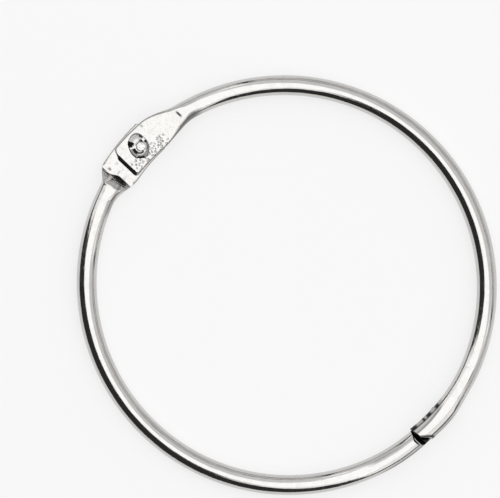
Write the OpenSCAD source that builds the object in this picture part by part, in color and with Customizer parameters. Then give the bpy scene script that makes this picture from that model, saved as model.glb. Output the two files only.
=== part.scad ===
// Loose-leaf binder ring: two swaged wire halves, riveted together at the hinge and lapped at the catch.
// The ring lies flat in XY with its centre at the origin, its hinge on -X and its catch on +X.
// The upper half is the +Y one: its flattened ends lie over those of the lower half, on the -Y side.

/* [Wire ring] */
// Inside diameter of each half's arc
ring_inner_d = 76.6; // [60:0.1:110]
// Wire diameter
wire_d = 4; // [3.6:0.1:4.6]
// How far each half's arc centre lies past the split line, which makes the ring narrower across
half_shift = 0.7; // [0:0.1:1.5]
// Mean radius of the tighter bend at the catch end
tip_bend_r = 34.5; // [30:0.5:38]
// Angle from the split line at which the tighter bend starts
tip_bend_a = 22; // [18:1:30]

/* [Hinge eyes] */
// Depth of each eye's outer face below the wire's crest
eye_sink = 0.27; // [0.2:0.01:0.4]
// Running gap between the two eyes
eye_gap = 0.06; // [0.04:0.01:0.12]
// Corner radius of each eye's end on the outside of the ring
eye_corner_out = 1.2; // [0.8:0.1:1.4]
// How much further each eye's lapped face reaches at its sheared end than the outer face
eye_end_slope = 0.8; // [0.2:0.1:1]
// Corner radius of each eye's end on the inside of the ring
eye_corner_in = 0.7; // [0.4:0.1:0.8]
// Rounding of the eyes' squeezed edges
eye_edge_r = 0.75; // [0.5:0.05:0.8]
// Distance of the pivot outside the wire's centre line
pivot_out = 0.2; // [0:0.05:0.5]
// Distance from the pivot to the foot of the shoulder that the swaging leaves
eye_foot = 7.6; // [7:0.1:8]
// Radius of the concave shoulder
eye_ramp_r = 2.1; // [2.1:0.1:3]
// Slant of the shoulder's foot across the wire, in degrees
eye_slant = -10; // [-12:1:12]
// Distance from the pivot to the crease where the eye's outer face starts
eye_face_start = 9.95; // [9:0.05:11]
// Distance from the pivot at which the wire starts to swell
neck_start = 13; // [12:0.1:15]

/* [Upper eye] */
// Reach of the upper eye's outer face past the pivot
upper_end = 4.1; // [3.6:0.1:4.6]
// Half width of the upper eye outside the wire's centre line
upper_out = 3.3; // [2.9:0.05:3.8]
// Half width of the upper eye inside the wire's centre line
upper_in = 3.7; // [3.2:0.05:4.2]
// Distance from the pivot at which the upper eye's outer edge is at full width
upper_neck_out = 3.2; // [2:0.1:8]
// Distance from the pivot at which the upper eye's inner edge is at full width
upper_neck_in = 3.5; // [2:0.1:8]

/* [Lower eye] */
// Reach of the lower eye's outer face past the pivot
lower_end = 3.1; // [3:0.1:4.6]
// Half width of the lower eye outside the wire's centre line
lower_out = 3.75; // [2.9:0.05:4]
// Half width of the lower eye inside the wire's centre line
lower_in = 3.95; // [3.2:0.05:4.2]
// Distance from the pivot at which the lower eye's outer edge is at full width
lower_neck_out = 6.8; // [2:0.1:8]
// Distance from the pivot at which the lower eye's inner edge is at full width
lower_neck_in = 5.5; // [2:0.1:8]

/* [Rivet] */
// Diameter of the rivet's shank
shank_d = 2.7; // [2.4:0.05:3]
// Radial running clearance of the shank in the eyes
shank_clear = 0.05; // [0.03:0.01:0.08]
// Diameter of the factory head under the lower eye
head_d = 5.2; // [4.6:0.1:6]
// Outer diameter of the clenched rim over the upper eye
clench_d = 4.7; // [4.2:0.1:5.4]
// Height of the clenched rim
clench_h = 0.55; // [0.4:0.05:0.8]
// Diameter of the hollow in the clenched end
hollow_d = 1.5; // [1.2:0.1:1.8]
// Depth of the dish inside the clenched rim
dish_depth = 0.35; // [0.1:0.05:0.45]
// Depth of the hollow below the clenched rim's top
hollow_depth = 2.2; // [1:0.1:2.6]

/* [Catch] */
// Gap between the two lapped faces of the catch
catch_gap = 0.3; // [0.2:0.02:0.4]
// Height of the ridge on each lapped face
tooth_h = 0.1; // [0.05:0.01:0.1]
// Width of each ridge along the wire
tooth_w = 0.9; // [0.6:0.1:1]
// Distance from the split line to the foot of each shoulder
catch_foot = 3.1; // [3:0.1:3.5]
// Radius of the concave shoulders at the catch
catch_ramp_r = 1.85; // [1.8:0.05:2.4]
// Reach of the upper half's hook past the split line
hook_len = 3.9; // [3:0.1:3.9]
// Reach of the lower half's tongue past the split line
tongue_len = 2.4; // [1.5:0.1:2.6]
// Lean of the sheared ends of hook and tongue, in degrees
end_lean = 12; // [0:1:20]
// Swelling of the hook's outer side beyond the wire
hook_swell = 0.45; // [0:0.05:0.6]
// Swelling of the tongue's inner side beyond the wire
tongue_swell = 0.15; // [0:0.05:0.6]
// Place of the ridge past the split line on the hook, and short of it on the tongue
hook_tooth = 2.3; // [1.6:0.1:2.4]
// Length along the wire of the bevel on the hook's outer corner
hook_bevel = 1.9; // [1:0.1:2.5]
// Lean of the bevel, in degrees
bevel_lean = 20; // [0:1:30]

/* [Hidden] */
steel = [0.80, 0.80, 0.79];
rivet_steel = [0.66, 0.66, 0.65];

wire_r = wire_d / 2;
mean_r = ring_inner_d / 2 + wire_r;
// The main arc is centred below the split line, and the tip arc continues it with the same tangent.
arc_centre = [0, -half_shift];
tip_centre = arc_centre + (mean_r - tip_bend_r) * [cos(tip_bend_a), sin(tip_bend_a)];
// Angles at which the two arcs cross the split line, seen from their own centres
hinge_a = 180 - asin(half_shift / mean_r);
catch_a = -asin(tip_centre.y / tip_bend_r);
// Places of the two ends on the split line
hinge_x = -mean_r * sqrt(1 - pow(half_shift / mean_r, 2));
pivot_x = hinge_x - pivot_out;
catch_x = tip_centre.x + tip_bend_r * cos(catch_a);

eye_top = wire_r - eye_sink;
eye_face = eye_gap / 2;
catch_face = catch_gap / 2;
hole_r = shank_d / 2 + shank_clear;
// The dish is part of a sphere that meets the crest of the rim.
rim_crest = (clench_d - clench_h) / 2;
dish_r = (rim_crest * rim_crest + dish_depth * dish_depth) / (2 * dish_depth);
// Flats are cut this deep into the lofted sections, whose edges keep the rest of their rounding.
flat_cut = 0.1;
// The lofted shoulder starts this far before the cut one, which may be slanted.
foot_margin = 0.8;
// Length of the tip bend, from its start to the split line
tip_len = (tip_bend_a - catch_a) * PI * tip_bend_r / 180;
// Distance from the split line at which the catch starts to swell
swell_start = 9;
// Spacing of the swept sections, how deep they are rooted in the round wire, and their step at its end
section_step = 0.75;
root_len = 0.5;
seam_step = 0.04;
quarter_points = 6;
// Every cutter reaches this far, which is past all sections of the wire.
reach = 3 * wire_d;

function smooth(t) = let (c = min(1, max(0, t))) c * c * (3 - 2 * c);
// 0 where the wire is still round, at start, and 1 where the shape is full, at finish
function blend(u, start, finish) = smooth((start - u) / (start - finish));
function along(from, to, step) = let (n = ceil(abs(to - from) / step)) [for (i = [0:n]) from + (to - from) * i / n];

// Cross-section of the swaged wire: a box with elliptical corners, round when flatness is 0.
function section(out, inn, low, high, flatness, edge_r) = let (
        half_h = (high - low) / 2,
        mid = (high + low) / 2,
        corner_h = (1 - flatness) * half_h + flatness * min(edge_r, half_h)
    ) [
        for (q = [0:3]) for (i = [0:quarter_points - 1]) let (
            a = 90 * (q + (i + 0.5) / quarter_points),
            half_w = (q == 0 || q == 3) ? out : inn,
            corner_w = (1 - flatness) * half_w + flatness * edge_r,
            side = (q == 0 || q == 3) ? 1 : -1,
            up = q < 2 ? 1 : -1
        ) [side * (half_w - corner_w) + corner_w * cos(a), mid + up * (half_h - corner_h) + corner_h * sin(a)]
    ];

// Solid through sections that stand radially on an arc: the angles rise from one section to the next.
module swept(centre, r, angles, sections) {
    n = 4 * quarter_points;
    last = len(angles) - 1;
    points = [for (k = [0:last]) for (p = sections[k])
        [centre.x + (r + p.x) * cos(angles[k]), centre.y + (r + p.x) * sin(angles[k]), p.y]];
    sides = [for (k = [0:last - 1]) for (i = [0:n - 1]) let (j = (i + 1) % n)
        [k * n + i, k * n + j, (k + 1) * n + j, (k + 1) * n + i]];
    caps = [[for (i = [n - 1:-1:0]) i], [for (i = [0:n - 1]) last * n + i]];
    polyhedron(points, concat(sides, caps), convexity = 6);
}

function round_section(r) = section(r, r, -r, r, 0, r);
// A swept end is rooted inside the round wire, and leaves it just below its surface.
root_section = round_section(wire_r - root_len);
seam_section = round_section(wire_r - seam_step);

// What the swaging takes off below a lapped face, with a concave shoulder past its foot at +x.
module lap_cut(face, foot, ramp_r, slant = 0) {
    width = 2 * reach;
    rotate(slant) rotate([90, 0, 0]) translate([0, 0, -width / 2]) linear_extrude(width) {
        translate([foot - 2 * reach, face - reach]) square([2 * reach, reach]);
        translate([foot, face - ramp_r]) circle(r = ramp_r, $fn = 64);
        translate([foot, face - reach]) square([ramp_r, reach - ramp_r]);
    }
}

// Height of the loft's underside, which follows the shoulder just outside the cut that finishes it.
function under(u, face, foot, ramp_r) = let (v = u + foot_margin - foot)
    v >= ramp_r ? -wire_r : max(-wire_r, face - flat_cut - ramp_r + sqrt(ramp_r * ramp_r - pow(max(0, v), 2)));

module eye_blank(end, out, inn, neck_out, neck_in) {
    places = concat(along(neck_start - section_step, 3, section_step), along(1.5, -end - eye_end_slope - 0.5, 1.5));
    roots = [neck_start + root_len, neck_start];
    swept(arc_centre, mean_r,
        [for (u = concat(roots, places)) hinge_a - u * 180 / (PI * mean_r)],
        concat([root_section, seam_section], [for (u = places) let (flatness = blend(u, neck_start, 5)) section(
            wire_r + (out - wire_r) * blend(u, neck_start - 2.8, neck_out),
            wire_r + (inn - wire_r) * blend(u, neck_start, neck_in),
            under(u, eye_face, eye_foot, eye_ramp_r),
            wire_r - (eye_sink - flat_cut) * flatness, flatness, eye_edge_r)]));
}

// Slab with the outline of an eye's end, its pivot at the origin and its wire leaving along +x.
module end_slab(z, end, out, inn, corner_out, corner_in) {
    drop = end * end / (2 * mean_r);
    high = out - pivot_out - drop - corner_out;
    low = -inn - pivot_out - drop + corner_in;
    translate([0, 0, z]) linear_extrude(flat_cut) {
        translate([corner_out - end, high]) circle(r = corner_out, $fn = 32);
        translate([corner_in - end, low]) circle(r = corner_in, $fn = 32);
        translate([corner_out - end, low - corner_in]) square([reach, high + corner_out - low + corner_in]);
    }
}

// The sheared end of an eye: its sides slope out towards the lapped face.
module eye_limits(end, out, inn) {
    hull() {
        end_slab(eye_top, end, out, inn, eye_corner_out, eye_corner_in);
        end_slab(eye_face - flat_cut, end + eye_end_slope, out + eye_end_slope, inn + eye_end_slope,
            eye_corner_out + eye_end_slope, eye_corner_in + eye_end_slope);
    }
    translate([0, -reach, -reach]) cube([2 * reach, 2 * reach, 2 * reach]);
}

// Moves a shape drawn about the pivot to the hinge: its +x runs into the upper half's wire.
module at_hinge() translate([pivot_x, 0, 0]) rotate(90) children();

// Moves a shape drawn about the catch to its place: its +x runs past the split line.
module at_catch() translate([catch_x, 0, 0]) rotate(-90) children();

module eye(end, out, inn, neck_out, neck_in) {
    difference() {
        intersection() {
            eye_blank(end, out, inn, neck_out, neck_in);
            at_hinge() eye_limits(end, out, inn);
        }
        at_hinge() {
            lap_cut(eye_face, eye_foot, eye_ramp_r, eye_slant);
            translate([eye_face_start - 3 * reach, -reach, eye_top]) cube([3 * reach, 2 * reach, reach]);
            translate([0, 0, -reach]) cylinder(r = hole_r, h = 2 * reach, $fn = 64);
        }
    }
}

// Takes off all that lies past a plane through [x, y] on the lapped face, which leans back going up.
module shear(x, y, direction, lean) {
    translate([x, y, catch_face]) rotate(direction - 90) rotate([lean, 0, 0])
        translate([-reach, 0, -reach]) cube([2 * reach, reach, 2 * reach]);
}

module lap_end(length, out_swell, in_swell, tooth_from) {
    places = along(length + section_step, section_step - tip_len, section_step);
    roots = [-tip_len, -tip_len - root_len];
    difference() {
        swept(tip_centre, tip_bend_r,
            [for (u = concat(places, roots)) catch_a - u * 180 / (PI * tip_bend_r)],
            concat([for (u = places) let (full = blend(u, -swell_start, -catch_foot)) section(
                wire_r + out_swell * full, wire_r + in_swell * full, -wire_r, wire_r, 0, wire_r)],
                [seam_section, root_section]));
        at_catch() {
            shear(length, 0, 0, end_lean);
            difference() {
                mirror([1, 0, 0]) lap_cut(catch_face, catch_foot, catch_ramp_r);
                translate([tooth_from, -reach, catch_face - tooth_h]) cube([tooth_w, 2 * reach, tooth_h]);
            }
        }
    }
}

// The round wire of the upper half, from the start of the tip bend to the neck of the eye
module round_wire() {
    neck_a = hinge_a - neck_start * 180 / (PI * mean_r);
    translate(arc_centre) rotate_extrude(angle = neck_a - tip_bend_a, start = tip_bend_a, $fn = 180)
        translate([mean_r, 0]) circle(r = wire_r, $fn = 32);
}

module upper_half_ring() color(steel) {
    round_wire();
    eye(upper_end, upper_out, upper_in, upper_neck_out, upper_neck_in);
    difference() {
        lap_end(hook_len, hook_swell, 0, hook_tooth);
        at_catch() shear(hook_len - hook_bevel, wire_r + hook_swell, 45, bevel_lean);
    }
}

module lower_half_ring() color(steel) rotate([180, 0, 0]) {
    round_wire();
    eye(lower_end, lower_out, lower_in, lower_neck_out, lower_neck_in);
    lap_end(tongue_len, 0, tongue_swell, -hook_tooth);
}

// Hinge pin: a flat factory head below, and a hollow end rolled outwards over the upper eye.
module rivet() color(rivet_steel) translate([pivot_x, 0, 0]) {
    seat = eye_top + eye_gap;
    rim_r = clench_h / 2;
    difference() {
        union() {
            translate([0, 0, -wire_r]) cylinder(d = head_d, h = eye_sink, $fn = 64);
            translate([0, 0, -wire_r]) cylinder(d = shank_d, h = wire_r + seat + rim_r, $fn = 64);
            translate([0, 0, seat + rim_r]) rotate_extrude($fn = 64)
                translate([clench_d / 2 - rim_r, 0]) circle(r = rim_r, $fn = 32);
            translate([0, 0, seat]) cylinder(r = clench_d / 2 - rim_r, h = 2 * rim_r, $fn = 64);
        }
        translate([0, 0, seat + clench_h - hollow_depth]) cylinder(d = hollow_d, h = reach, $fn = 48);
        translate([0, 0, seat + clench_h + dish_r - dish_depth]) sphere(r = dish_r, $fn = 64);
    }
}

upper_half_ring();
lower_half_ring();
rivet();
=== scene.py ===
# %% [markdown]
# # A loose-leaf binder ring in Blender
# The ring is two halves of hard-drawn steel wire. At one side their ends are pressed flat, laid over each
# other and joined by a hollow rivet, so that the ring opens. At the other side the wire ends are cut to
# half their thickness and lap, and the springy wire snaps them shut.
# The ring is nickel plated, so what we see of it is mostly the room that it reflects. That sets the order
# of the work: exact smooth shapes first, then the plating and its small faults, and last the lamps.
# The CAD model fixes where everything goes, and each piece built here stands for one of its nodes.

# %% Load the CAD frame
import math

import bmesh
import bpy
import numpy as np
from mathutils import Matrix, Vector


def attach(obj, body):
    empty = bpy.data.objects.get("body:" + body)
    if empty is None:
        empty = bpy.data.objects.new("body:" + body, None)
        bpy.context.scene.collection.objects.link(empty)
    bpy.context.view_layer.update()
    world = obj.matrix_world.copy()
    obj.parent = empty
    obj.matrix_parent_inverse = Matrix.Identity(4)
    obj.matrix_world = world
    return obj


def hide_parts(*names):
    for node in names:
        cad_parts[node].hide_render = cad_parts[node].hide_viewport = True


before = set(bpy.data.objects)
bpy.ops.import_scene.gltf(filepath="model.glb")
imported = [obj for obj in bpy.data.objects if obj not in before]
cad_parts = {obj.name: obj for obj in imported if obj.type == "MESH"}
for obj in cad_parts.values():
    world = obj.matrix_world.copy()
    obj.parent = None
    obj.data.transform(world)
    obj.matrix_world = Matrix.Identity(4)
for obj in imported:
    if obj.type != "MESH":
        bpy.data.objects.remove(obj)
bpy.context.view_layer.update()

print("CAD nodes:", sorted(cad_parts))

# %% [markdown]
# ## The path of the wire
# Every size below is in millimetres, as a maker would measure the ring, and the finished meshes are scaled
# to metres in one step at the end. A half ring follows a wide arc, and close to the catch a slightly
# tighter one. It could be drawn as a curve object with a bevel, but the ends of the wire change shape, so
# it is easier to say where a point lies that is so far along the wire, so far out from its centre line and
# so high. One function answers that, and the mesh only has to ask it.

# %% Sizes of the wire ring, and where its two ends cross the split line
MM = 0.001
WIRE_R = 2.0
MEAN_R, TIP_R = 40.3, 34.5  # from the middle of each arc to the middle of the wire
TIP_FROM = math.radians(22)  # the tighter arc starts this far round from the catch
PIVOT_OUT = 0.2  # the pivot lies this far outside the middle of the wire
ARC_CENTRE = np.array([0.0, -0.7])
TIP_CENTRE = ARC_CENTRE + (MEAN_R - TIP_R) * np.array([math.cos(TIP_FROM), math.sin(TIP_FROM)])
HINGE_A = math.pi - math.asin(-ARC_CENTRE[1] / MEAN_R)
CATCH_A = -math.asin(TIP_CENTRE[1] / TIP_R)
PIVOT_X = ARC_CENTRE[0] + MEAN_R * math.cos(HINGE_A) - PIVOT_OUT
CATCH_X = TIP_CENTRE[0] + TIP_R * math.cos(CATCH_A)
ARC_LEN = MEAN_R * (HINGE_A - TIP_FROM)
TIP_LEN = TIP_R * (TIP_FROM - CATCH_A)
CATCH_AT = ARC_LEN + TIP_LEN
print(f"pivot x {PIVOT_X:.3f}, catch x {CATCH_X:.3f}, wire from hinge to catch {CATCH_AT:.2f} mm")

# %% Place a point by its distance along the wire and across it
SQUARE_ENDS = (4, -1)  # rows start to turn 4 mm before a split line, and are square from 1 mm past it


def smooth(t):
    """Goes from 0 to 1 as t does, and starts and stops gently."""
    t = np.clip(t, 0, 1)
    return t * t * (3 - 2 * t)


def blend(along, start, finish):
    """0 where the wire is still plain, at start, and 1 where a shape is full, at finish."""
    return smooth((start - along) / (start - finish))


def on_wire(along, across):
    """Points so far along the wire from the hinge's split line, and so far out from its middle."""
    along = np.broadcast_to(along, np.shape(across))
    on_arc = along <= ARC_LEN
    angle = np.where(on_arc, HINGE_A - along / MEAN_R, TIP_FROM - (along - ARC_LEN) / TIP_R)
    outward = np.stack([np.cos(angle), np.sin(angle)], -1)
    centre = np.where(on_arc[:, None], ARC_CENTRE, TIP_CENTRE)
    middle = centre + np.where(on_arc, MEAN_R, TIP_R)[:, None] * outward
    # Near both ends the rows turn square to the tangent at the split line, as the ends are cut.
    square_hinge = blend(along, *SQUARE_ENDS)[:, None]
    square_catch = blend(CATCH_AT - along, *SQUARE_ENDS)[:, None]
    outward = outward + square_hinge * (np.array([-1.0, 0.0]) - outward)
    outward = outward + square_catch * (np.array([1.0, 0.0]) - outward)
    return middle + across[:, None] * outward


print("the wire's middle, half way round:", on_wire(CATCH_AT / 2, np.zeros(1)).round(2))

# %% [markdown]
# ## The cross-section of the worked wire
# Where the wire is pressed flat its section turns from a circle into a rounded box. One outline with four
# elliptical corners covers both and everything between. Points spaced evenly by angle would leave the flat
# faces empty and the edges coarse, so the outline is walked and given new points, closer together where it
# turns. That keeps every row at the same number of points, which is what lets rows join with clean faces.

# %% Outline of a section, and new spacing of its points
SIDES = 96  # points round the finished wire
OUTLINE_POINTS = 320  # points of a section while it is shaped


def section(out, inn, low, high, flatness, edge_r, count=24):
    """A box with elliptical corners as (across, height) from its top round, a circle when flatness is 0."""
    half_h, mid = (high - low) / 2, (high + low) / 2
    corner_h = (1 - flatness) * half_h + flatness * min(edge_r, half_h)
    rows = []
    for quarter, half_w, side, up in ((1, inn, -1, 1), (2, inn, -1, -1), (3, out, 1, -1), (4, out, 1, 1)):
        corner_w = (1 - flatness) * half_w + flatness * min(edge_r, half_w)
        a = math.pi / 2 * (quarter + (np.arange(count) + 0.5) / count)
        rows.append(np.stack([side * (half_w - corner_w) + corner_w * np.cos(a),
                              mid + up * (half_h - corner_h) + corner_h * np.sin(a)], -1))
    return np.concatenate(rows)


def respaced(points, count, at_turns=0.0):
    """Spaces points anew along a closed outline. With at_turns they gather where it turns."""
    steps = np.roll(points, -1, 0) - points
    heading = np.arctan2(steps[:, 1], steps[:, 0])
    turn = np.abs((np.roll(heading, -1) - heading + math.pi) % (2 * math.pi) - math.pi)
    weight = np.hypot(*steps.T) + at_turns * (turn + np.roll(turn, 1)) / 2
    walked = np.concatenate([[0], np.cumsum(weight)])
    wanted = np.linspace(0, walked[-1], count, endpoint=False)
    closed = np.concatenate([points, points[:1]])
    return np.stack([np.interp(wanted, walked, closed[:, i]) for i in (0, 1)], -1)


def soft_max(a, b, k):
    """The larger of two heights, with the corner between them rounded over about k."""
    h = np.clip(0.5 + 0.5 * (a - b) / k, 0, 1)
    return b * (1 - h) + a * h + k * h * (1 - h)


round_wire = section(WIRE_R, WIRE_R, -WIRE_R, WIRE_R, 0, 0)
print("a plain section has", len(round_wire), "points, then", len(respaced(round_wire, SIDES)))

# %% [markdown]
# ## Pressed eyes and lapped tips
# A press squeezes the hinge end flat and sinks its outer face a little below the wire. Its die leaves a
# steep shoulder where the flat meets the full wire, whose foot is further off on the outer side than on the
# inner. At the catch the round wire is milled to half its height, and the shoulder there has a narrow ledge
# where the cutter stopped. Both cuts could be Boolean cutters, but a cutter leaves slivers and hard edges
# that show at once in polished metal. Here the section's points that would be cut away are slid onto the
# cut instead, with a small rounding, so the mesh stays a regular grid and its edges stay soft.

# %% Sizes of the eyes, along the wire from the pivot and up from the ring's middle plane
EYE_TOP, EYE_FACE = 1.73, 0.03  # outer face and lapped face
EYE_EDGE_R, EYE_SUNK = 0.52, 0.17  # rounding of the edges, and how far the press sinks the outer side
EYE_FOOT, EYE_RAMP, EYE_BULGE = (7.1, 8.1), 2.55, 1.2  # the shoulder's foot, inner and outer side, and shape
FOOT_STEP, STEP_LONG, OUTER_EASE = 1.6, 2.2, 0.22  # where that foot steps, and how much gentler it gets
EYE_FLAT_FROM, EYE_FACE_FROM, NECK_FROM = 5, 9.95, 13.0
FACE_RISE, FACE_EASE = 0.5, 4.5  # past the eye its outer face rises this much, over this length
SPARE = 0.3  # the section's own underside stays this far clear of the shoulder
END_SLOPE = 0.72  # the sheared end is this much longer on the lapped face
END_ROUND = 1.2  # rows are packed over this length, where the end is rounded

# %% Sizes of the catch, along the wire from the split line
CATCH_FACE = 0.15
CATCH_CUT = -6  # the milling cutter does not reach further back than this
SWELL_FULL, SWELL_FROM = 3.1, 9.0
RIDGE_H, RIDGE_LONG = 0.1, 0.9
LEDGE = (0.62, 0.76)  # the ledge, as shares of the shoulder's length
SHOULDER = (0, 0.6, *LEDGE, 1), (0, 0.7, 0.72, 0.73, 1)  # shares of its length, and of its drop
END_LEAN = math.tan(math.radians(4))
CUT_EDGE_R = 0.12

# %% What differs between the two halves
# end: the eye's reach past the pivot. out, inn: its half widths. neck_out, neck_in: where they are full.
# tip: the tip's reach past the split line. tip_out, tip_in: how far it swells. tip_more: how much further
# it reaches on its inner side. ridge: where its ridge starts. foot, ramp: foot and length of the catch's
# shoulder, outer and inner side. burrs: (place along the wire, size) of what the shear left on the eye.
# dull_and_shade_from: where the shoulder turns dull, as a share of its length; on the lower half it starts
# well before the foot, as painted shade on the lapped face beside the hook. ledge_shine: how bright its ledge
# is.
# neck_shade, side_shade: how much painted shade the neck and the side near the catch carry.
# edge_wear_and_shade: how dark the pressed edges are, partly worn plating and partly painted shade.
HALVES = {
    "upper": dict(end=4.25, out=3.28, inn=3.7, neck_out=3.2, neck_in=3.5,
                  tip=3.9, tip_out=0.43, tip_in=0.0, tip_more=0.15, ridge=2.3, burrs=(),
                  foot=(3.1, 3.1), ramp=(1.85, 1.85), dull_and_shade_from=-0.05, ledge_shine=0,
                  neck_shade=0.64, side_shade=0, edge_wear_and_shade=0.62),
    "lower": dict(end=3.1, out=3.64, inn=3.95, neck_out=6.8, neck_in=5.5,
                  tip=2.4, tip_out=0.0, tip_in=-0.1, tip_more=0, ridge=-2.3, burrs=((-1, 0.07), (-2.4, 0.07)),
                  foot=(3.95, 4.15), ramp=(1.25, 0.4), dull_and_shade_from=-2.2, ledge_shine=0.95,
                  neck_shade=0, side_shade=0.62, edge_wear_and_shade=0.38),
}
print("eye widths in mm:", {name: half["out"] + half["inn"] for name, half in HALVES.items()})

# %% Height of the eye's shoulder
BELOW_WIRE = 20  # past its shoulder a cut drops this steeply out of the wire, so that it takes nothing off


def ramp(past, face, length, bulge=1.0):
    """Height of a lapped face and of its shoulder. It is steepest at its foot if bulge is over 1."""
    v = np.clip(past / length, 0, 1)
    return face - (face + WIRE_R) * (1 - (1 - v) ** bulge) - BELOW_WIRE * np.clip(past - length, 0, 1)


def past_foot(x, y):
    """How far a place is past the foot of the eye's shoulder, which steps back on the outer side."""
    outward = PIVOT_X - x
    past = y - EYE_FOOT[0] - (EYE_FOOT[1] - EYE_FOOT[0]) * smooth((outward + FOOT_STEP) / STEP_LONG)
    return past * (1 - OUTER_EASE * smooth((outward + 0.6) / 1.2))


print("eye's shoulder past its foot:", ramp(np.arange(3), EYE_FACE, EYE_RAMP, EYE_BULGE).round(2))


# %% Height of the catch's shoulder
def past_shoulder(half, y, across):
    """How far a place at the catch is past its shoulder's foot, as a share of the shoulder's length."""
    inner = smooth(0.12 - across / 1.6)
    foot = half["foot"][0] + (half["foot"][1] - half["foot"][0]) * inner
    length = half["ramp"][0] + (half["ramp"][1] - half["ramp"][0]) * inner
    return (y - foot) / length


def stepped(v):
    """Height of the catch's face and of its shoulder with the ledge."""
    return CATCH_FACE - (CATCH_FACE + WIRE_R) * np.interp(v, *SHOULDER) - BELOW_WIRE * np.clip(v - 1, 0, 1)


print("catch's shoulder from foot to end:", stepped(np.linspace(0, 1, 5)).round(2))


# %% Section of the wire at any place between the hinge end and the catch end
def corner_inset(from_end, r):
    """How far a corner of radius r has drawn in the side, this far from the end."""
    v = max(0.0, r - from_end)
    return r - math.sqrt(max(0.0, r * r - v * v))


def eye_section(half, along, inset):
    """Outline of the pressed end before its lapped side is cut."""
    flatness = blend(along, NECK_FROM, EYE_FLAT_FROM)
    out = WIRE_R + (half["out"] - WIRE_R) * blend(along, NECK_FROM - 2.8, half["neck_out"])
    inn = WIRE_R + (half["inn"] - WIRE_R) * blend(along, NECK_FROM, half["neck_in"])
    out -= 2 * corner_inset(along + half["end"], 0.8)
    inn -= corner_inset(along + half["end"], 0.7)
    below = EYE_FACE - 0.1
    if along >= EYE_FOOT[0] - SPARE:
        below = float(ramp(along + SPARE - EYE_FOOT[0], below, EYE_RAMP - SPARE))
    low, high = max(-WIRE_R, below), WIRE_R - EYE_SUNK * flatness
    return section(out - inset, inn - inset, low + inset, high - inset, flatness, EYE_EDGE_R)


def worked_section(half, along):
    """The (across, height) outline of a half ring at one place, its top side up."""
    to_catch = along - CATCH_AT
    inset = corner_inset(min(along + half["end"], half["tip"] - to_catch), CUT_EDGE_R)
    if along < NECK_FROM:
        outline = eye_section(half, along, inset)
    elif to_catch > -SWELL_FROM:
        full = blend(to_catch, -SWELL_FROM, -SWELL_FULL)
        outline = section(WIRE_R + half["tip_out"] * full - inset, WIRE_R + half["tip_in"] * full - inset,
                          -WIRE_R + inset, WIRE_R - inset, 0, 0)
    else:
        outline = round_wire
    return respaced(cut_to_shape(half, along, respaced(outline, OUTLINE_POINTS), inset), OUTLINE_POINTS)


def cut_to_shape(half, along, outline, inset):
    """Slides what the press and the cutter took away onto the faces that they left."""
    across, height = outline.T
    x, y = on_wire(along, across).T
    if along < NECK_FROM:
        height = soft_max(height, ramp(past_foot(x, y), EYE_FACE, EYE_RAMP, EYE_BULGE) + inset, 0.1)
        rise = FACE_RISE * blend(along, EYE_FACE_FROM - 0.5, EYE_FACE_FROM + FACE_EASE)
        height = -soft_max(-height, -(EYE_TOP - inset + rise), 0.08)
    elif along - CATCH_AT > CATCH_CUT:
        ridge = RIDGE_H if 0 < along - CATCH_AT - half["ridge"] < RIDGE_LONG else 0
        height = soft_max(height, stepped(past_shoulder(half, y, across)) - ridge + inset, 0.06)
    return np.stack([across, height], -1)


sample = worked_section(HALVES["upper"], 0.0)
print(f"upper eye at the pivot: {np.ptp(sample[:, 0]):.2f} wide, {np.ptp(sample[:, 1]):.2f} thick")

# %% [markdown]
# ## From a spun tube to a half ring
# The mesh starts as a plain tube: a circle of points spun round the ring's axis, one step of the spin for
# each row. The rows then move along the wire to where they are needed, close together at the hinge and the
# catch and wide apart on the plain arc, and each takes its section. Each open end is closed with one flat
# face, whose rim is marked sharp, so that it is shaded as the flat cut that it is.


# %% Where the rows go
def run(start, finish, step):
    """Places from start up to finish, about a step apart."""
    return list(np.linspace(start, finish, max(2, round(abs(finish - start) / step) + 1))[:-1])


def row_places(half):
    """Places of the rows, in millimetres along the wire from the hinge's split line."""
    end, tip = half["end"], half["tip"]
    turned = [-end + END_ROUND * (1 - math.cos(math.radians(a))) for a in range(0, 90, 5)]
    hinge = turned + run(-end + END_ROUND, 6.5, 0.15) + run(6.5, 10.4, 0.065) + run(10.4, 14, 0.2)
    arc = run(14, CATCH_AT - SWELL_FROM, 1.0)
    catch = run(-SWELL_FROM, -5.4, 0.25) + run(-5.4, tip - CUT_EDGE_R, 0.075)
    rounded = [tip - CUT_EDGE_R * (1 - math.cos(math.radians(a))) for a in (90, 60, 40, 20, 0)]
    return np.array(hinge + arc + [CATCH_AT + q for q in catch + rounded])


for name, half in HALVES.items():
    print(name, "half ring:", len(row_places(half)), "rows")


# %% Spin a circle into a tube
def spun_tube(rows):
    """A tube with one ring of points for each row, and for each point its row and its place in it."""
    bm = bmesh.new()
    upright = Matrix.Translation((MEAN_R, 0, 0)) @ Matrix.Rotation(math.pi / 2, 4, "X")
    bmesh.ops.create_circle(bm, segments=SIDES, radius=WIRE_R, matrix=upright)
    spun = math.radians(170)
    bmesh.ops.spin(bm, geom=bm.verts[:] + bm.edges[:], cent=(0, 0, 0), axis=(0, 0, 1), angle=spun,
                   steps=rows - 1, use_merge=False)
    co = np.array([v.co for v in bm.verts])
    row = np.rint(np.arctan2(co[:, 1], co[:, 0]) * (rows - 1) / spun).astype(int)
    from_top = np.arctan2(co[:, 2], np.hypot(co[:, 0], co[:, 1]) - MEAN_R) - math.pi / 2
    return bm, row, np.rint(from_top * SIDES / (2 * math.pi)).astype(int) % SIDES


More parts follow.
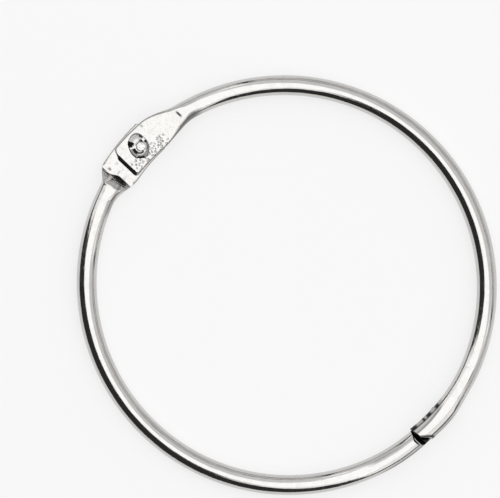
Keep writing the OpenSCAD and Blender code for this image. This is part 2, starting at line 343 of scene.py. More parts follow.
# %% [markdown]
# ## Where the metal is worn, and where shade is painted
# On the real ring the shears, the press and the cutter leave edges and small bites where the plating is
# thin and dark. They could be painted on the finished mesh. Here each point gets a few measures from 0 to 1
# that are worked out from its place on the wire, so they stay with the shape when a size changes:
# `pressed_edge`, `stippled`, `dull_and_shade` and `plain_wire`. The materials read them as attributes, and
# with them `straight_wire`, the point's place as it would be if the wire were straightened. Besides wear,
# the same measures carry painted shade, darker colour where shade and dark reflections fall: in the gaps
# along the catch's seam and beside the hook, beside the upper eye's edge, on the cut ends, round the hook's
# bevel, along the pressed edges, in the stippled dents and in bands on the wire's sides.

# %% Edges, and windows between two limits
ON_TOP = 0.8  # points above this height are on the outer side


def edge_strength(outline):
    """How sharply a section turns at each of its points: 0 on round wire, 1 on a pressed edge."""
    before, after = outline - np.roll(outline, 1, 0), np.roll(outline, -1, 0) - outline
    turn = np.arctan2(after[:, 1], after[:, 0]) - np.arctan2(before[:, 1], before[:, 0])
    turn = np.abs((turn + math.pi) % (2 * math.pi) - math.pi)
    length = (np.hypot(*before.T) + np.hypot(*after.T)) / 2
    return np.clip((turn / np.maximum(length, 1e-4) - 0.8) / 1.2, 0, 1)


def window(value, low, high, soft):
    """1 between low and high, and 0 further than soft outside them."""
    return smooth((value - low) / soft + 1) * smooth((high - value) / soft + 1)


# %% Bites of the tools, and one painted shadow
# In mm: towards the wire and outwards from the pivot, half length and half width. Then how dark a mark is,
# from 0 to 1, and how deep in mm. The last mark of the lower half is no bite but painted shadow on the lower
# eye, just outside the upper eye's edge at the pivot.
TOOL_MARKS_AND_SHADOW = {
    "upper": [(9.98, -1.55, 0.22, 0.72, 1.0, 0), (-3.1, -2.2, 0.3, 0.25, 0.3, 0),
              (3.2, 2.2, 0.25, 0.3, 0.5, 0), (3.8, -2.7, 0.15, 0.5, 0.55, 0.04),
              (2.8, -2.9, 0.15, 0.3, 0.5, 0.04)],
    "lower": [(7.4, 1.0, 0.28, 0.38, 0.7, 0), (6.7, -0.8, 0.4, 0.14, 0.5, 0),
              # the last mark here: painted shadow beside the upper eye's edge
              (5.6, 0.7, 0.3, 0.3, 0.25, 0), (0.2, 3.45, 0.3, 0.15, 0.9, 0)],
}


def tool_marks_and_shadow(name, spots, height):
    """How dark and how deep the bites and the painted shadow are at these points."""
    from_pivot, outward = spots[:, 1], PIVOT_X - spots[:, 0]
    dark, deep = np.zeros(len(spots)), np.zeros(len(spots))
    for u, w, length, width, darkness, depth in TOOL_MARKS_AND_SHADOW[name]:
        inside = np.exp(-((from_pivot - u) / length) ** 4 - ((outward - w) / width) ** 4)
        dark = np.maximum(dark, darkness * inside)
        deep = np.maximum(deep, depth * inside * (height > ON_TOP))
    return dark, deep


print({name: len(marks) for name, marks in TOOL_MARKS_AND_SHADOW.items()}, "dark_marks")

# %% The torn shoulder of an eye, and painted shade on its neck
# Where the press tore the shoulder: places outwards, and how far past the foot it is torn, in mm.
TORN = ((-3.7, -3.3, -2.5, -1.6, -0.9, 0.0, 0.8), (0, 0.45, 1.2, 1.25, 0.75, 0.3, 0))


def torn_shoulder(along, spots, height):
    """How dull and how rough the eye's shoulder is."""
    if along >= NECK_FROM:
        return np.zeros(SIDES), np.zeros(SIDES)
    past = past_foot(spots[:, 0], spots[:, 1])
    near_cut = np.exp(-((height - ramp(past, EYE_FACE, EYE_RAMP, EYE_BULGE)) / 0.12) ** 2)
    torn = np.interp(PIVOT_X - spots[:, 0], *TORN)
    dull_and_shade = 0.9 * near_cut * window(past, 0.1, torn - 0.25, 0.2) * (torn > 0.05)
    whole, patch = 0.15 * window(past, 0.1, 2.3, 0.2), 0.8 * window(past, 0.1, torn + 0.3, 0.2)
    return dull_and_shade, near_cut * np.maximum(whole, patch)


def off_the_faces(height, top=True):
    """1 on a section's sides, and 0 near its lowest points, and with top near its highest ones too."""
    off_low = smooth((height - height.min() - 0.05) / 0.25)
    return smooth((height.max() - height - 0.05) / 0.25) * off_low if top else off_low


def shaded_neck(half, along, across, height):
    """How much painted shade the inner side of the neck carries."""
    return half["neck_shade"] * float(window(along, 8.5, 12.5, 3)) * (across < 0) * off_the_faces(height)


def stipple_of_press(name, along, spots, height, rough):
    """Where the skin is stippled: on the upper eye's inner side, and on the lower one's rough shoulder."""
    pressed = 0.3 * blend(along, 11, 8)
    outward = PIVOT_X - spots[:, 0]
    inner = window(spots[:, 1], -3.9, 4.8, 0.5) * window(outward, -4.2, -1.7, 0.5) * (height > ON_TOP)
    return np.maximum(inner if name == "upper" else rough, pressed)


# %% The cut of the catch, and painted shade along its seam and on its sides
# Nicks of painted shade along the seam, where the hook and the tongue leave small gaps:
SEAM_SHADE_NICKS = [(-3.1, 0.7), (-0.65, 0.75), (0.7, 0.33), (3.3, 1.0)]  # mm past the split line, half length
# How dark the painted shade is along the hook's seam and on the tongue's inner side:
SEAM_SHADE, TONGUE_SHADE = 0.35, 0.6
SHADE_LINE = ((-4, 0, 3), (1.0, 0.64, 0.52))  # the line of painted shade on the hook: mm past the split line, inwards


def cut_shoulder_and_shade(half, spots, across, height):
    """How dull the milled face and shoulder of the catch are; on the lower half the same darkening reaches
    the lapped face beside the hook as painted shade.
    """
    v = past_shoulder(half, spots[:, 1], across)
    dull_and_shade = np.exp(-((height - stepped(v)) / 0.15) ** 2) * window(v, half["dull_and_shade_from"], 1, 0.08)
    return dull_and_shade * (1 - half["ledge_shine"] * window(v, *LEDGE, 0.05))


def shade_along_seam(name, past_catch, across):
    """How dark the painted shade is on the inner side along the seam where the hook and the tongue meet."""
    if name == "lower":
        return TONGUE_SHADE * window(across, -3, -1.2, 0.3) * float(window(past_catch, 0, 3, 1.0))
    nick = max(math.exp(-((past_catch - at) / length) ** 4) for at, length in SEAM_SHADE_NICKS)
    return max(nick, SEAM_SHADE * float(window(past_catch, -4.2, 4.0, 1.0))) * window(across, -3, -1.4, 0.25)


def shaded_bands(name, along, across):
    """Narrow bands along the wire, darker and rougher, that carry painted shade."""
    past_catch, tip, inward = along - CATCH_AT, HALVES[name]["tip"], -across
    if name == "lower":
        return np.maximum(0.4 * window(inward, 1.35, 1.8, 0.15) * float(window(along, 8.5, 14, 3)),
                          0.42 * window(inward, 0.42, 0.9, 0.18) * float(window(past_catch, -13, tip, 4)))
    line = np.interp(past_catch, *SHADE_LINE)
    inner = np.maximum(0.66 * window(inward, line - 0.12, line + 0.12, 0.2),
                       0.3 * window(inward, line, 1.3, 0.2))
    outer = 0.3 * smooth((across - 1.8) / 0.2)
    return np.maximum(inner, outer) * float(window(past_catch, -2.5, tip, 2.5))


def shaded_side(half, past_catch, across, height):
    """How much painted shade the outer side carries towards the catch."""
    side = half["side_shade"] * smooth((across - 1.5) / 0.3) * off_the_faces(height, top=False)
    return side * float(window(past_catch, -10.5, half["tip"], 5))


# %% All measures of one row
# Painted shade on the cut ends of both halves:
END_SHADE = 0.84


def sheared(half, along, across, height):
    """Where the points of a row lie in the plane. Both ends are cut aslant, so the rows lean there."""
    at_tip = blend(CATCH_AT - along, 1, -half["tip"])
    reach = END_SLOPE * (EYE_TOP - height) / (EYE_TOP - EYE_FACE) * blend(along, 1.5, -half["end"])
    reach = reach * (1 - 0.6 * smooth((across - 1.3) / 0.9))
    reach = reach + END_LEAN * (height - CATCH_FACE) * at_tip
    reach = reach - half["tip_more"] * smooth(-across / 1.5) * at_tip
    return on_wire(along - reach, across)


def row_of_points(name, along):
    """Place and measures of the points of one row, each as a list round the wire."""
    half, past_catch = HALVES[name], along - CATCH_AT
    across, height = respaced(worked_section(half, along), SIDES, at_turns=0.35).T
    edge = edge_strength(np.stack([across, height], -1))
    for at, size in half["burrs"]:
        across = across + size * math.exp(-((along - at) / 0.22) ** 2) * (across > 3)
    spots = sheared(half, along, across, height)
    dark, deep = tool_marks_and_shadow(name, spots, height)
    shoulder, rough = torn_shoulder(along, spots, height)
    if past_catch > CATCH_CUT:
        shoulder = cut_shoulder_and_shade(half, spots, across, height)
        dark = np.maximum(dark, shade_along_seam(name, past_catch, across))
    at_end = max(float(smooth((CUT_EDGE_R - along - half["end"]) / 0.1)),
                 float(smooth((past_catch - half["tip"] + 0.2) / 0.1)))
    # Wear on the torn and milled shoulders, and painted shade: in the seam's gaps, on the cut ends, on the
    # neck, the side and the bands, and beside the upper eye's edge.
    dull_and_shade = np.maximum.reduce([
        dark, np.full(SIDES, END_SHADE * at_end), shoulder, shaded_neck(half, along, across, height),
        shaded_side(half, past_catch, across, height), shaded_bands(name, along, across)])
    plain = 1 - max(blend(along, 11.5, 7), float(blend(CATCH_AT - along, 5.2, 4)))
    # pressed_edge darkens the pressed edges, partly as thinner plating and partly as painted shade along
    # them.
    return dict(spots=spots, across=across, height=height - deep, dull_and_shade=dull_and_shade,
                pressed_edge=half["edge_wear_and_shade"] * edge * (1 - plain), plain_wire=np.full(SIDES, plain),
                stippled=stipple_of_press(name, along, spots, height, rough))


# %% Close the ends and cut the hook's bevel
BEVEL_TURN, BEVEL_LEAN, BEVEL_BACK = math.radians(39), math.radians(20), 1.79
BEVEL_RIM = 0.15


def close_ends(bm):
    """Fills each open end with one flat face, and keeps its rim crisp."""
    open_edges = [e for e in bm.edges if e.is_boundary]
    caps = bmesh.ops.edgeloop_fill(bm, edges=open_edges)["faces"]
    for edge in open_edges:
        edge.smooth = False
    print("closed", len(caps), "ends with", [len(c.verts) for c in caps], "corners")
    return caps


def bevelled(bm, half, dull_and_shade):
    """Cuts the hook's outer corner off aslant, and paints shade round the cut but not in its middle."""
    facing = Vector((math.cos(BEVEL_TURN) * math.cos(BEVEL_LEAN),
                     -math.sin(BEVEL_TURN) * math.cos(BEVEL_LEAN), math.sin(BEVEL_LEAN)))
    corner = Vector((CATCH_X + WIRE_R + half["tip_out"], -(half["tip"] - BEVEL_BACK), CATCH_FACE))
    bmesh.ops.bisect_plane(bm, geom=bm.verts[:] + bm.edges[:] + bm.faces[:], dist=1e-5, clear_outer=True,
                           plane_co=corner, plane_no=facing)
    # painted shade within about half a millimetre of the cut
    for v in bm.verts:
        inside = (corner - v.co).dot(facing)
        v[dull_and_shade] = max(v[dull_and_shade], 0.9 * float(smooth((0.5 - inside) / 0.3)))
    facet = close_ends(bm)
    bmesh.ops.inset_region(bm, faces=facet, thickness=BEVEL_RIM, use_even_offset=True)
    for v in facet[0].verts:
        v[dull_and_shade] = 0.0


# %% Press the tube into a half ring
def half_ring_mesh(name):
    """The mesh of one half, in millimetres, with its measures on its points."""
    rows = row_places(HALVES[name])
    bm, row, place = spun_tube(len(rows))
    measures = ("pressed_edge", "stippled", "dull_and_shade", "plain_wire")
    layers = {label: bm.verts.layers.float.new(label) for label in measures}
    straight = bm.verts.layers.float_vector.new("straight_wire")
    shaped = [row_of_points(name, along) for along in rows]
    for v, k, j in zip(bm.verts, row, place):
        points = shaped[k]
        v.co = (*points["spots"][j], points["height"][j])
        v[straight] = (rows[k], points["across"][j], points["height"][j])
        for label in measures:
            v[layers[label]] = points[label][j]
    close_ends(bm)
    if name == "upper":
        bevelled(bm, HALVES[name], layers["dull_and_shade"])
    return bm


# %% Make an object of a finished bmesh
def as_object(bm, name):
    """A new object with this mesh, at the origin."""
    mesh = bpy.data.meshes.new(name)
    bm.to_mesh(mesh)
    bm.free()
    made = bpy.data.objects.new(name, mesh)
    bpy.context.scene.collection.objects.link(made)
    return made


def finished(bm, name, turn=None):
    """Turns the shape if asked, scales it to metres, checks it and makes it an object."""
    if turn:
        bmesh.ops.transform(bm, matrix=turn, verts=bm.verts)
    bmesh.ops.scale(bm, vec=(MM, MM, MM), verts=bm.verts)
    bmesh.ops.remove_doubles(bm, verts=bm.verts, dist=1e-7)
    bmesh.ops.recalc_face_normals(bm, faces=bm.faces)
    holes = sum(not e.is_manifold for e in bm.edges)
    triangles = sum(len(f.verts) - 2 for f in bm.faces)
    print(f"{name}: {triangles} triangles, {holes} open edges, {1e9 * bm.calc_volume(signed=True):.1f} mm3")
    piece = as_object(bm, name)
    for polygon in piece.data.polygons:
        polygon.use_smooth = True
    return piece


# %% Drill the eyes for the rivet
HOLE_R = 1.4


def drilled(piece):
    """Drills the rivet's hole through an eye with a Boolean, whose edge the rivet hides."""
    bm = bmesh.new()
    bmesh.ops.create_cone(bm, cap_ends=True, segments=64, radius1=HOLE_R * MM, radius2=HOLE_R * MM,
                          depth=8 * MM, matrix=Matrix.Translation((PIVOT_X * MM, 0, 0)))
    drill = as_object(bm, "drill")
    cut = piece.modifiers.new("pin hole", "BOOLEAN")
    cut.object, cut.operation, cut.solver = drill, "DIFFERENCE", "EXACT"
    bpy.context.view_layer.update()
    result = bpy.data.meshes.new_from_object(piece.evaluated_get(bpy.context.evaluated_depsgraph_get()))
    piece.modifiers.clear()
    old, piece.data = piece.data, result
    bpy.data.meshes.remove(old)
    bpy.data.objects.remove(drill)


# %% The two half rings
upper = finished(half_ring_mesh("upper"), "upper_half")
lower = finished(half_ring_mesh("lower"), "lower_half", turn=Matrix.Rotation(math.pi, 4, "X"))
for piece in (upper, lower):
    drilled(piece)
    print(piece.name, "after drilling:", len(piece.data.polygons), "faces")

# %% [markdown]
# ## The rivet
# A hollow rivet holds the eyes together. Its flat factory head is underneath, and the hollow end on top is
# rolled outwards with a punch, which never comes out perfectly round: the rim is oval, a little off the
# axis, and creased where the steel folded over itself. It could be sculpted, but a half profile spun a full
# turn gives the clean shape of the head and the stem at once. After that only the rolled end is moved:
# stretched to an oval, waved slowly round the axis, pushed aside and pressed in along its folds.

# %% Profile of the rivet
SEAT, RIM_H, RIM_OUT = 1.79, 0.55, 2.35  # where the rim sits on the eye, its height and its radius
RIM_TOP = ((0.88, 1.0, 1.2, 1.45, 1.7, 2.0), (0.42, 0.45, 0.48, 0.51, 0.53, 0.54))  # radius, height over it


def rivet_profile():
    """Half profile as (radius, height), from the middle of the head round to the bottom of the hollow."""
    rim_r = RIM_H / 2
    head = [(0, -2), (2.45, -2), (2.56, -1.97), (2.6, -1.9), (2.58, -1.78), (2.5, -1.73), (1.35, -1.73)]
    lip = [(RIM_OUT - rim_r + rim_r * math.sin(a), SEAT + rim_r - rim_r * math.cos(a))
           for a in np.radians(np.arange(0, 181, 12))]
    radii = np.arange(2.0, 0.90, -0.08)
    dish = list(zip(radii, SEAT + np.interp(radii, *RIM_TOP)))
    hollow = [(0.86, SEAT + 0.2), (0.83, SEAT), (0.82, SEAT - 1.62), (0.81, SEAT - 1.65),
              (0.79, SEAT - 1.66), (0.76, SEAT - 1.66), (0, SEAT - 1.66)]
    return head + [(1.35, 1.6), (1.36, SEAT - 0.02), (1.5, SEAT)] + lip + dish + hollow


print("rivet profile:", len(rivet_profile()), "points")

# %% The oval of the rolled rim, and its folds
# The oval's long way lies this far round from the upper wire towards the outside. Then its half axes in mm.
OVAL_TURN, OVAL_LONG, OVAL_SHORT = math.radians(68), 2.62, 2.02
OVAL_COS, OVAL_SIN = math.cos(OVAL_TURN), math.sin(OVAL_TURN)
# Each fold: from one turn to another in degrees, from one share to another of the way out to the rim, and
# how dark its painted shade is, from 0 to 1, which also sets how deep it is pressed.
FOLDS = [(24, 100, 0.6, 0.95, 0.42), (24, 90, 0.92, 0.98, 0.7), (22, 40, 0.76, 0.95, 0.85),
         (108, 128, 0.48, 1.0, 1.0), (128, 141, 0.62, 1.0, 1.0), (164, 212, 0.5, 0.7, 1.0),
         (162, 222, 0.92, 1.0, 0.9), (222, 252, 0.82, 1.0, 1.0), (212, 264, 0.5, 0.6, 0.9),
         (160, 300, 0.7, 0.85, 0.6), (250, 345, 0.82, 1.0, 0.62), (296, 345, 0.66, 0.8, 0.45),
         (345, 354, 0.7, 0.97, 0.9)]


def oval(u, w):
    """Turns a place into the directions along and across the oval rim."""
    return u * OVAL_COS + w * OVAL_SIN, w * OVAL_COS - u * OVAL_SIN


def creases_and_shade(u, w):
    """How dark the painted shade in the folds, the bar and the pit is, from 0 to 1. u runs towards the upper
    wire and w outwards, in mm.
    """
    turn = math.degrees(math.atan2(w, u)) % 360
    long_way, short_way = oval(u, w)
    share = math.hypot(long_way / OVAL_LONG, short_way / OVAL_SHORT)
    folds = max(dark * float(window(turn, a, b, 7) * window(share, c, d, 0.05))
                for a, b, c, d, dark in FOLDS)
    # A bar and a pit by the hollow carry painted shade too.
    tongue = 0.4 * float(window(u, -0.2, 0.8, 0.2) * window(w, 0.55, 0.72, 0.1))
    pit = 0.85 * math.exp(-((u - 0.9) / 0.22) ** 2 - ((w - 0.57) / 0.25) ** 2)
    return max(folds, tongue, pit)


print(len(FOLDS), "folds, and the oval is", round(OVAL_LONG / OVAL_SHORT, 2), "times as long as wide")

# %% Spin the rivet and roll its rim unevenly
RIM_OFF = 0.12  # the rolled rim has slid this far along and across, seen from the pivot
HOLLOW_OFF = (0.47, 0.14)  # the hollow's mouth has been pushed this much further inwards and up the wire
FOLD_DEEP = 0.1


def rolled(co):
    """Rolls one point of the clean rivet to its place in the clenched one, and says how dark its painted
    shade is.
    """
    r, a = math.hypot(co.x, co.y), math.atan2(co.y, co.x)
    lift = float(smooth((co.z - SEAT + 0.9) / 0.9) * smooth((r - 0.85) / 0.4))
    stretch = 1 + lift * (0.02 * math.sin(3 * a + 0.6) + 0.02 * math.sin(5 * a + 2))
    inner = float(smooth((1.5 - r) / 0.5))
    long_way, short_way = oval(co.y, -co.x)
    longer, shorter = 1 + lift * (OVAL_LONG / RIM_OUT - 1), 1 + lift * (OVAL_SHORT / RIM_OUT - 1)
    co.y = stretch * (long_way * longer * OVAL_COS - short_way * shorter * OVAL_SIN) - RIM_OFF * lift
    co.x = -stretch * (long_way * longer * OVAL_SIN + short_way * shorter * OVAL_COS) + RIM_OFF * lift
    co.x += HOLLOW_OFF[0] * inner
    co.y += HOLLOW_OFF[1] * inner
    fold_and_shade = creases_and_shade(co.y + RIM_OFF, RIM_OFF - co.x) * float(smooth((co.z - SEAT + 0.1) / 0.2))
    co.z -= FOLD_DEEP * fold_and_shade * float(smooth((2.1 - r) / 0.3))
    return fold_and_shade


def rivet_mesh():
    """The rivet in millimetres, at the pivot."""
    bm = bmesh.new()
    points = [bm.verts.new((r, 0, z)) for r, z in rivet_profile()]
    for a, b in zip(points, points[1:]):
        bm.edges.new((a, b))
    bmesh.ops.spin(bm, geom=bm.verts[:] + bm.edges[:], cent=(0, 0, 0), axis=(0, 0, 1), angle=2 * math.pi,
                   steps=128, use_merge=True)
    bmesh.ops.remove_doubles(bm, verts=bm.verts, dist=1e-5)
    # The rolled end's folds carry painted shade in this measure.
    dull_and_shade = bm.verts.layers.float.new("dull_and_shade")
    for v in bm.verts:
        r, z = math.hypot(v.co.x, v.co.y), v.co.z
        if (r < 1.3 and z > SEAT - 1.7) or (r > 1.6 and z > SEAT - 0.01) or z > SEAT + 0.01:
            v[dull_and_shade] = rolled(v.co)
    bmesh.ops.translate(bm, vec=(PIVOT_X, 0, 0), verts=bm.verts)
    return bm


rivet = finished(rivet_mesh(), "hinge_rivet")

# %% [markdown]
# ## Nickel plating
# Bright nickel is a warm, slightly yellow-grey mirror. Three things break its reflection on a real ring:
# fine lines along the wire from the drawing die, scuffs from handling, and a stippled skin where the steel
# was pressed. They could all be built inside one material. Here each is a node group that puts out a mask,
# because the rivet shows the last two as well, with other strengths. On the wire the dents of that skin
# are also darkened in colour, as painted shade.


# %% Helpers that add nodes
def add_node(tree, kind, settings=None, **inputs):
    """A new node with these settings, and with values or links for its inputs."""
    node = tree.nodes.new(kind)
    for key, value in (settings or {}).items():
        setattr(node, key, value)
    for key, value in inputs.items():
        feed(tree, node.inputs[key.replace("_", " ")], value)
    return node


def feed(tree, socket, value):
    """Links an input to another node's output, or sets its value."""
    if isinstance(value, bpy.types.NodeSocket):
        tree.links.new(value, socket)
    else:
        socket.default_value = value


def calculate(tree, operation, a, b=0.0, clamp=False):
    node = add_node(tree, "ShaderNodeMath", {"operation": operation, "use_clamp": clamp})
    feed(tree, node.inputs[0], a)
    feed(tree, node.inputs[1], b)
    return node.outputs[0]


def remap(tree, value, low, high):
    """0 at low and 1 at high, with a smooth step between them."""
    node = add_node(tree, "ShaderNodeMapRange", {"clamp": True, "interpolation_type": "SMOOTHSTEP"},
                    Value=value, From_Min=low, From_Max=high)
    return node.outputs["Result"]


def multiplied(tree, place, factors):
    """A place with its numbers multiplied, which squeezes a pattern on it."""
    node = add_node(tree, "ShaderNodeVectorMath", {"operation": "MULTIPLY"})
    feed(tree, node.inputs[0], place)
    feed(tree, node.inputs[1], factors)
    return node.outputs[0]


def new_group(name, values, masks):
    """An empty node group that takes a place and these values, and puts out these masks."""
    group = bpy.data.node_groups.new(name, "ShaderNodeTree")
    group.interface.new_socket(name="Place", in_out="INPUT", socket_type="NodeSocketVector")
    for label, value in values.items():
        socket = group.interface.new_socket(name=label, in_out="INPUT", socket_type="NodeSocketFloat")
        socket.default_value = value
    for label in masks:
        group.interface.new_socket(name=label, in_out="OUTPUT", socket_type="NodeSocketFloat")
    return group, group.nodes.new("NodeGroupInput").outputs, group.nodes.new("NodeGroupOutput").inputs


# %% Node group: fine lines that run along the wire
def make_drawn_lines():
    """Mask of the lines that a drawing die leaves. Place is measured along, across and up, in mm."""
    group, given, out = new_group("drawn lines", {"Fineness": 9.0}, ["Mask"])
    noise = add_node(group, "ShaderNodeTexNoise", {"noise_dimensions": "3D"}, Scale=given["Fineness"],
                     Vector=multiplied(group, given["Place"], (0.03, 1, 1)), Detail=3.0, Roughness=0.6)
    feed(group, out["Mask"], remap(group, noise.outputs["Fac"], 0.35, 0.7))
    return group


drawn_lines = make_drawn_lines()


# %% Node group: scuffs from handling
def make_scuffs():
    """Mask of short faint scratches and cloudy rubbed patches, from a place in mm."""
    group, given, out = new_group("scuffs", {"Amount": 0.5}, ["Scratches", "Clouds"])
    total = None
    for turn, seed in ((0.4, 0.0), (1.9, 7.3), (2.7, 3.1)):
        turned = add_node(group, "ShaderNodeMapping", Vector=given["Place"], Rotation=(0, 0, turn),
                          Location=(seed, seed, 0))
        squeezed = add_node(group, "ShaderNodeMapping", Vector=turned.outputs[0], Scale=(0.35, 7.0, 0.35))
        noise = add_node(group, "ShaderNodeTexNoise", Vector=squeezed.outputs[0], Scale=1.0, Detail=2.0,
                         Roughness=0.7)
        line = remap(group, noise.outputs["Fac"], 0.68, 0.76)
        total = line if total is None else calculate(group, "MAXIMUM", total, line)
    clouds = add_node(group, "ShaderNodeTexNoise", Vector=given["Place"], Scale=0.5, Detail=3.0,
                      Roughness=0.55)
    feed(group, out["Scratches"], calculate(group, "MULTIPLY", total, given["Amount"], True))
    feed(group, out["Clouds"], remap(group, clouds.outputs["Fac"], 0.42, 0.68))
    return group


scuffs = make_scuffs()


# %% Node group: the stippled skin of pressed steel
def make_stipple():
    """Mask of small dents, 1 in each dent, that only show where Where is high."""
    group, given, out = new_group("stipple", {"Where": 1.0, "Size": 2.9}, ["Dents"])
    dents = add_node(group, "ShaderNodeTexVoronoi", {"feature": "SMOOTH_F1"}, Scale=given["Size"],
                     Vector=multiplied(group, given["Place"], (0.62, 1, 1)), Smoothness=0.4, Randomness=1.0)
    near = calculate(group, "SUBTRACT", 1.0, remap(group, dents.outputs["Distance"], 0.18, 0.52))
    feed(group, out["Dents"], calculate(group, "MULTIPLY", near, given["Where"], True))
    return group


stipple = make_stipple()
print("node groups:", {group.name: len(group.nodes) for group in (drawn_lines, scuffs, stipple)})


# %% Helpers for the metals
def place_group(tree, group, **inputs):
    """Places a node group in a material, with its inputs."""
    return add_node(tree, "ShaderNodeGroup", {"node_tree": group}, **inputs)


def in_millimetres(tree):
    """The point's place on the object, in millimetres."""
    scaled = add_node(tree, "ShaderNodeVectorMath", {"operation": "SCALE"}, Scale=1000)
    tree.links.new(tree.nodes.new("ShaderNodeTexCoord").outputs["Object"], scaled.inputs[0])
    return scaled.outputs[0]


def own_measure(tree, name, output="Fac"):
    """One of the measures that the mesh carries on its points."""
    return add_node(tree, "ShaderNodeAttribute", {"attribute_name": name}).outputs[output]


def mixed_colour(tree, amount, a, b):
    """Colour a where amount is 0, and b where it is 1."""
    mix = add_node(tree, "ShaderNodeMix", {"data_type": "RGBA"})
    tree.links.new(amount, mix.inputs[0])
    for socket, value in zip((mix.inputs[6], mix.inputs[7]), (a, b)):
        feed(tree, socket, value if isinstance(value, bpy.types.NodeSocket) else (*value, 1))
    return mix.outputs[2]


def layered(tree, colour, *layers):
    """A colour under layers, each given as its mask, its strength and its own colour."""
    for mask, strength, over in layers:
        amount = mask if strength == 1 else calculate(tree, "MULTIPLY", mask, strength)
        colour = mixed_colour(tree, amount, colour, over)
    return colour


def added(tree, base, *terms):
    """A base value with masks added to it, each with its weight."""
    for mask, weight in terms:
        base = calculate(tree, "ADD", base, calculate(tree, "MULTIPLY", mask, weight))
    return base


def new_metal(name):
    """A new metal's material, its node tree and its shader."""
    material = bpy.data.materials.new(name)
    material.use_nodes = True
    shader = material.node_tree.nodes["Principled BSDF"]
    shader.inputs["Metallic"].default_value = 1.0
    return material, material.node_tree, shader


def surface(tree, shader, colour, rough, height):
    """Gives a metal its colour, its roughness and its relief, whose height is in mm."""
    bump = add_node(tree, "ShaderNodeBump", Height=height, Strength=1.0, Distance=MM)
    tree.links.new(colour, shader.inputs["Base Color"])
    tree.links.new(rough, shader.inputs["Roughness"])
    tree.links.new(bump.outputs["Normal"], shader.inputs["Normal"])


# %% Colours of the plating, of what shows through it, and of painted shade
NICKEL, NICKEL_CLOUDED = (0.60, 0.59, 0.575), (0.53, 0.52, 0.505)
# The second colour darkens the stippled dents, as painted shade in them.
SCRATCH, DENT_SHADE = (0.50, 0.49, 0.47), (0.25, 0.235, 0.22)
# The first colour darkens the pressed edges, partly as thin plating and partly as painted shade along them.
# The second is bare steel on torn and milled faces, and painted shade in gaps, on cut ends, round the bevel
# and in bands on the sides.
THIN_PLATE_AND_SHADE, BARE_STEEL_AND_SHADE = (0.12, 0.117, 0.113), (0.02, 0.0195, 0.019)
# The last colour is painted shade in the rivet's folds.
RIM_NICKEL, RIM_CLOUDED, CREASE_SHADE = (0.62, 0.61, 0.595), (0.55, 0.54, 0.525), (0.008, 0.008, 0.007)


# %% Nickel plate on the wire
def make_nickel():
    """A mirror with drawn lines on the plain wire, dents where it was pressed with painted shade in them, and
    dark places that are partly worn and partly painted shade.
    """
    material, tree, shader = new_metal("nickel_plate")
    place = in_millimetres(tree)
    edge, plain, dull_and_shade = (own_measure(tree, name) for name in ("pressed_edge", "plain_wire", "dull_and_shade"))
    straight = own_measure(tree, "straight_wire", "Vector")
    drawn = place_group(tree, drawn_lines, Place=straight).outputs["Mask"]
    lines = calculate(tree, "MULTIPLY", drawn, plain)
    scratches, clouds = place_group(tree, scuffs, Place=place, Amount=0.8).outputs
    dents = place_group(tree, stipple, Place=place, Where=own_measure(tree, "stippled")).outputs["Dents"]
    # Colour: painted shade in the dents, and on the pressed edges and the dark places partly wear and partly
    # painted shade.
    colour = layered(tree, NICKEL, (clouds, 0.35, NICKEL_CLOUDED), (scratches, 0.5, SCRATCH),
                     (dents, 0.62, DENT_SHADE), (edge, 1, THIN_PLATE_AND_SHADE), (dull_and_shade, 1, BARE_STEEL_AND_SHADE))
    rough = added(tree, 0.07, (lines, 0.05), (clouds, 0.06), (scratches, 0.12), (edge, 0.05), (dull_and_shade, 0.3))
    height = added(tree, 0.0, (lines, 0.0015), (dents, -0.045), (scratches, -0.004))
    surface(tree, shader, colour, rough, height)
    return material


nickel = make_nickel()
print(nickel.name, "has", len(nickel.node_tree.nodes), "nodes")

# %% [markdown]
# ## The rivet's metal
# The rivet is softer steel under the same plating. It has no drawn lines, its dents are larger, and the
# folds of its rolled rim are painted nearly black as shade, and so are a bar and a pit by its hollow. It
# could share the wire's material, but a second one that places the same groups is easier to read and needs
# one measure.


# %% Nickel plate on the rivet
def make_rivet_metal():
    """A duller mirror with large soft dents, and painted shade in its folds."""
    material, tree, shader = new_metal("rivet_metal")
    place = in_millimetres(tree)
    scratches, clouds = place_group(tree, scuffs, Place=place, Amount=1.0).outputs
    dents = place_group(tree, stipple, Place=place, Where=1.0, Size=1.6).outputs["Dents"]
    dull_and_shade = own_measure(tree, "dull_and_shade")
    # painted shade: the folds turn nearly black
    colour = layered(tree, RIM_NICKEL, (clouds, 1, RIM_CLOUDED), (dull_and_shade, 1, CREASE_SHADE))
    rough = added(tree, 0.12, (scratches, 0.15), (dull_and_shade, 0.3))
    surface(tree, shader, colour, rough, calculate(tree, "MULTIPLY", dents, -0.03))
    return material


rivet_metal = make_rivet_metal()
print(rivet_metal.name, "has", len(rivet_metal.node_tree.nodes), "nodes")

# %% Dress the pieces and tie them to the CAD
for piece, node, body, slot, material in (
    (upper, "upper_half_ring", "upper_half", "nickel_plate", nickel),
    (lower, "lower_half_ring", "lower_half", "nickel_plate", nickel),
    (rivet, "rivet", "lower_half", "rivet_metal", rivet_metal),
):
    piece.data.materials.clear()
    piece.data.materials.append(material)
    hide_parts(node)
    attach(piece, body)
    print(piece.name, "stands for", node, "and rides on", body)

# %% [markdown]
# ## The table
# The ring lies on a plain white table. More lamp light would make it white too, but would burn out the
# ring. Here the camera and the ring's reflections see the table as mostly lit from within, and the rest of
# its brightness is real lamp light, which carries the ring's soft shadow.

# %% A white table that keeps the shadow
BACKGROUND_SHARE = 0.7  # how much of the table's brightness is its own
TABLE_REACH = 8  # metres from the ring to the table's edge


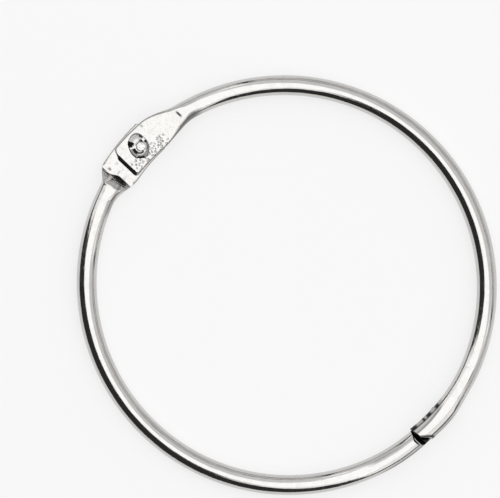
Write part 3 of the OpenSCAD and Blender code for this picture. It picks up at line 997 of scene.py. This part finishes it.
def make_table():
    bm = bmesh.new()
    bmesh.ops.create_grid(bm, x_segments=1, y_segments=1, size=TABLE_REACH)
    bmesh.ops.translate(bm, vec=(0, 0, -WIRE_R * MM), verts=bm.verts)
    table = as_object(bm, "table_top")
    material = bpy.data.materials.new("table_white")
    material.use_nodes = True
    tree = material.node_tree
    shader = tree.nodes["Principled BSDF"]
    mottle = add_node(tree, "ShaderNodeTexNoise", Vector=in_millimetres(tree), Scale=0.05, Detail=4.0)
    paper = mixed_colour(tree, mottle.outputs["Fac"], (0.93, 0.93, 0.93), (0.95, 0.95, 0.95))
    tree.links.new(paper, shader.inputs["Base Color"])
    shader.inputs["Roughness"].default_value = 0.9
    shader.inputs["Specular IOR Level"].default_value = 0.2
    rays = tree.nodes.new("ShaderNodeLightPath").outputs
    mirrored = calculate(tree, "MAXIMUM", rays["Is Glossy Ray"], rays["Is Transmission Ray"])
    seen = calculate(tree, "MAXIMUM", rays["Is Camera Ray"], mirrored)
    glow = add_node(tree, "ShaderNodeEmission", Strength=1.0)
    lit = tree.nodes.new("ShaderNodeMixShader")
    tree.links.new(calculate(tree, "MULTIPLY", seen, BACKGROUND_SHARE), lit.inputs[0])
    tree.links.new(shader.outputs[0], lit.inputs[1])
    tree.links.new(glow.outputs[0], lit.inputs[2])
    tree.links.new(lit.outputs[0], tree.nodes["Material Output"].inputs["Surface"])
    table.data.materials.append(material)
    print(f"the table lies at {-WIRE_R} mm and reaches {TABLE_REACH} m each way")


make_table()

# %% [markdown]
# ## The lamps
# A mirror needs something to reflect, and a single lamp would leave most of the wire black, so soft boxes
# stand round one half of the room. The overhead box lays the white band along the crown of the wire. The
# boxes at the ends widen it at the hinge and the catch, and a small one in front does so between the catch
# and the near side. The boxes at the far side and its corners are dimmer, for the grey of that flank.
# Low down on the near side stands nothing: the dark room there draws the black stripe along the wire.

# %% Soft boxes and a dim room
ROOM_LIGHT = 0.035
AT_RING = (0, 0, 0)


def softbox(name, centre, aim, width, depth, brightness):
    """A rectangular lamp that looks this bright, where 1 is white, turned to aim with its width along x."""
    lamp = bpy.data.lights.new(name, "AREA")
    lamp.shape, lamp.size, lamp.size_y = "RECTANGLE", width, depth
    lamp.energy = brightness * math.pi * width * depth
    box = bpy.data.objects.new(name, lamp)
    box.location = centre
    box.rotation_euler = (Vector(aim) - Vector(centre)).to_track_quat("-Z", "Y").to_euler()
    bpy.context.scene.collection.objects.link(box)
    print(f"{name}: {lamp.energy:.1f} W")


softbox("overhead softbox", (0, 0, 1.3), AT_RING, 2.2, 0.9, 1.6)
for end in (-1, 1):
    softbox("end softbox", (end * 2.01, -0.28, 1.24), AT_RING, 1.4, 1.5, 1.25)
softbox("front softbox", (0.78, -0.62, 1.3), (0.78, -0.62, 0), 0.9, 0.34, 1.25)
softbox("side softbox", (0, 1.23, 1.58), AT_RING, 4.4, 1.42, 0.85)
softbox("low side softbox", (0, 2.31, 0.66), AT_RING, 6.0, 1.05, 0.66)
for end in (-1, 1):
    softbox("corner softbox", (end * 3.06, 1.3, 1.35), AT_RING, 1.4, 2.3, 0.72)

world = bpy.data.worlds.new("studio")
bpy.context.scene.world = world
world.use_nodes = True
room = world.node_tree.nodes["Background"].inputs
room["Color"].default_value, room["Strength"].default_value = (1, 1, 1, 1), ROOM_LIGHT

# %% [markdown]
# ## The camera
# The ring is seen from straight above, turned so that its hinge is at the upper left. A long lens from a
# metre away keeps the two ends of the ring the same size.

# %% A long lens straight above
SENSOR, VIEW_WIDE = 36, 0.0995  # the sensor in mm, and how wide a view it has a metre away, in metres
camera = bpy.data.objects.new("camera", bpy.data.cameras.new("camera"))
camera.data.sensor_width = SENSOR
camera.data.lens = SENSOR / VIEW_WIDE
camera.location = (-0.01025, 0.0002, 1.0)
camera.rotation_euler = (0, 0, math.radians(43.35))
bpy.context.scene.collection.objects.link(camera)
bpy.context.scene.camera = camera
bpy.context.scene.view_settings.view_transform = "Standard"
print(f"the view is {1000 * camera.location.z * SENSOR / camera.data.lens:.1f} mm wide")
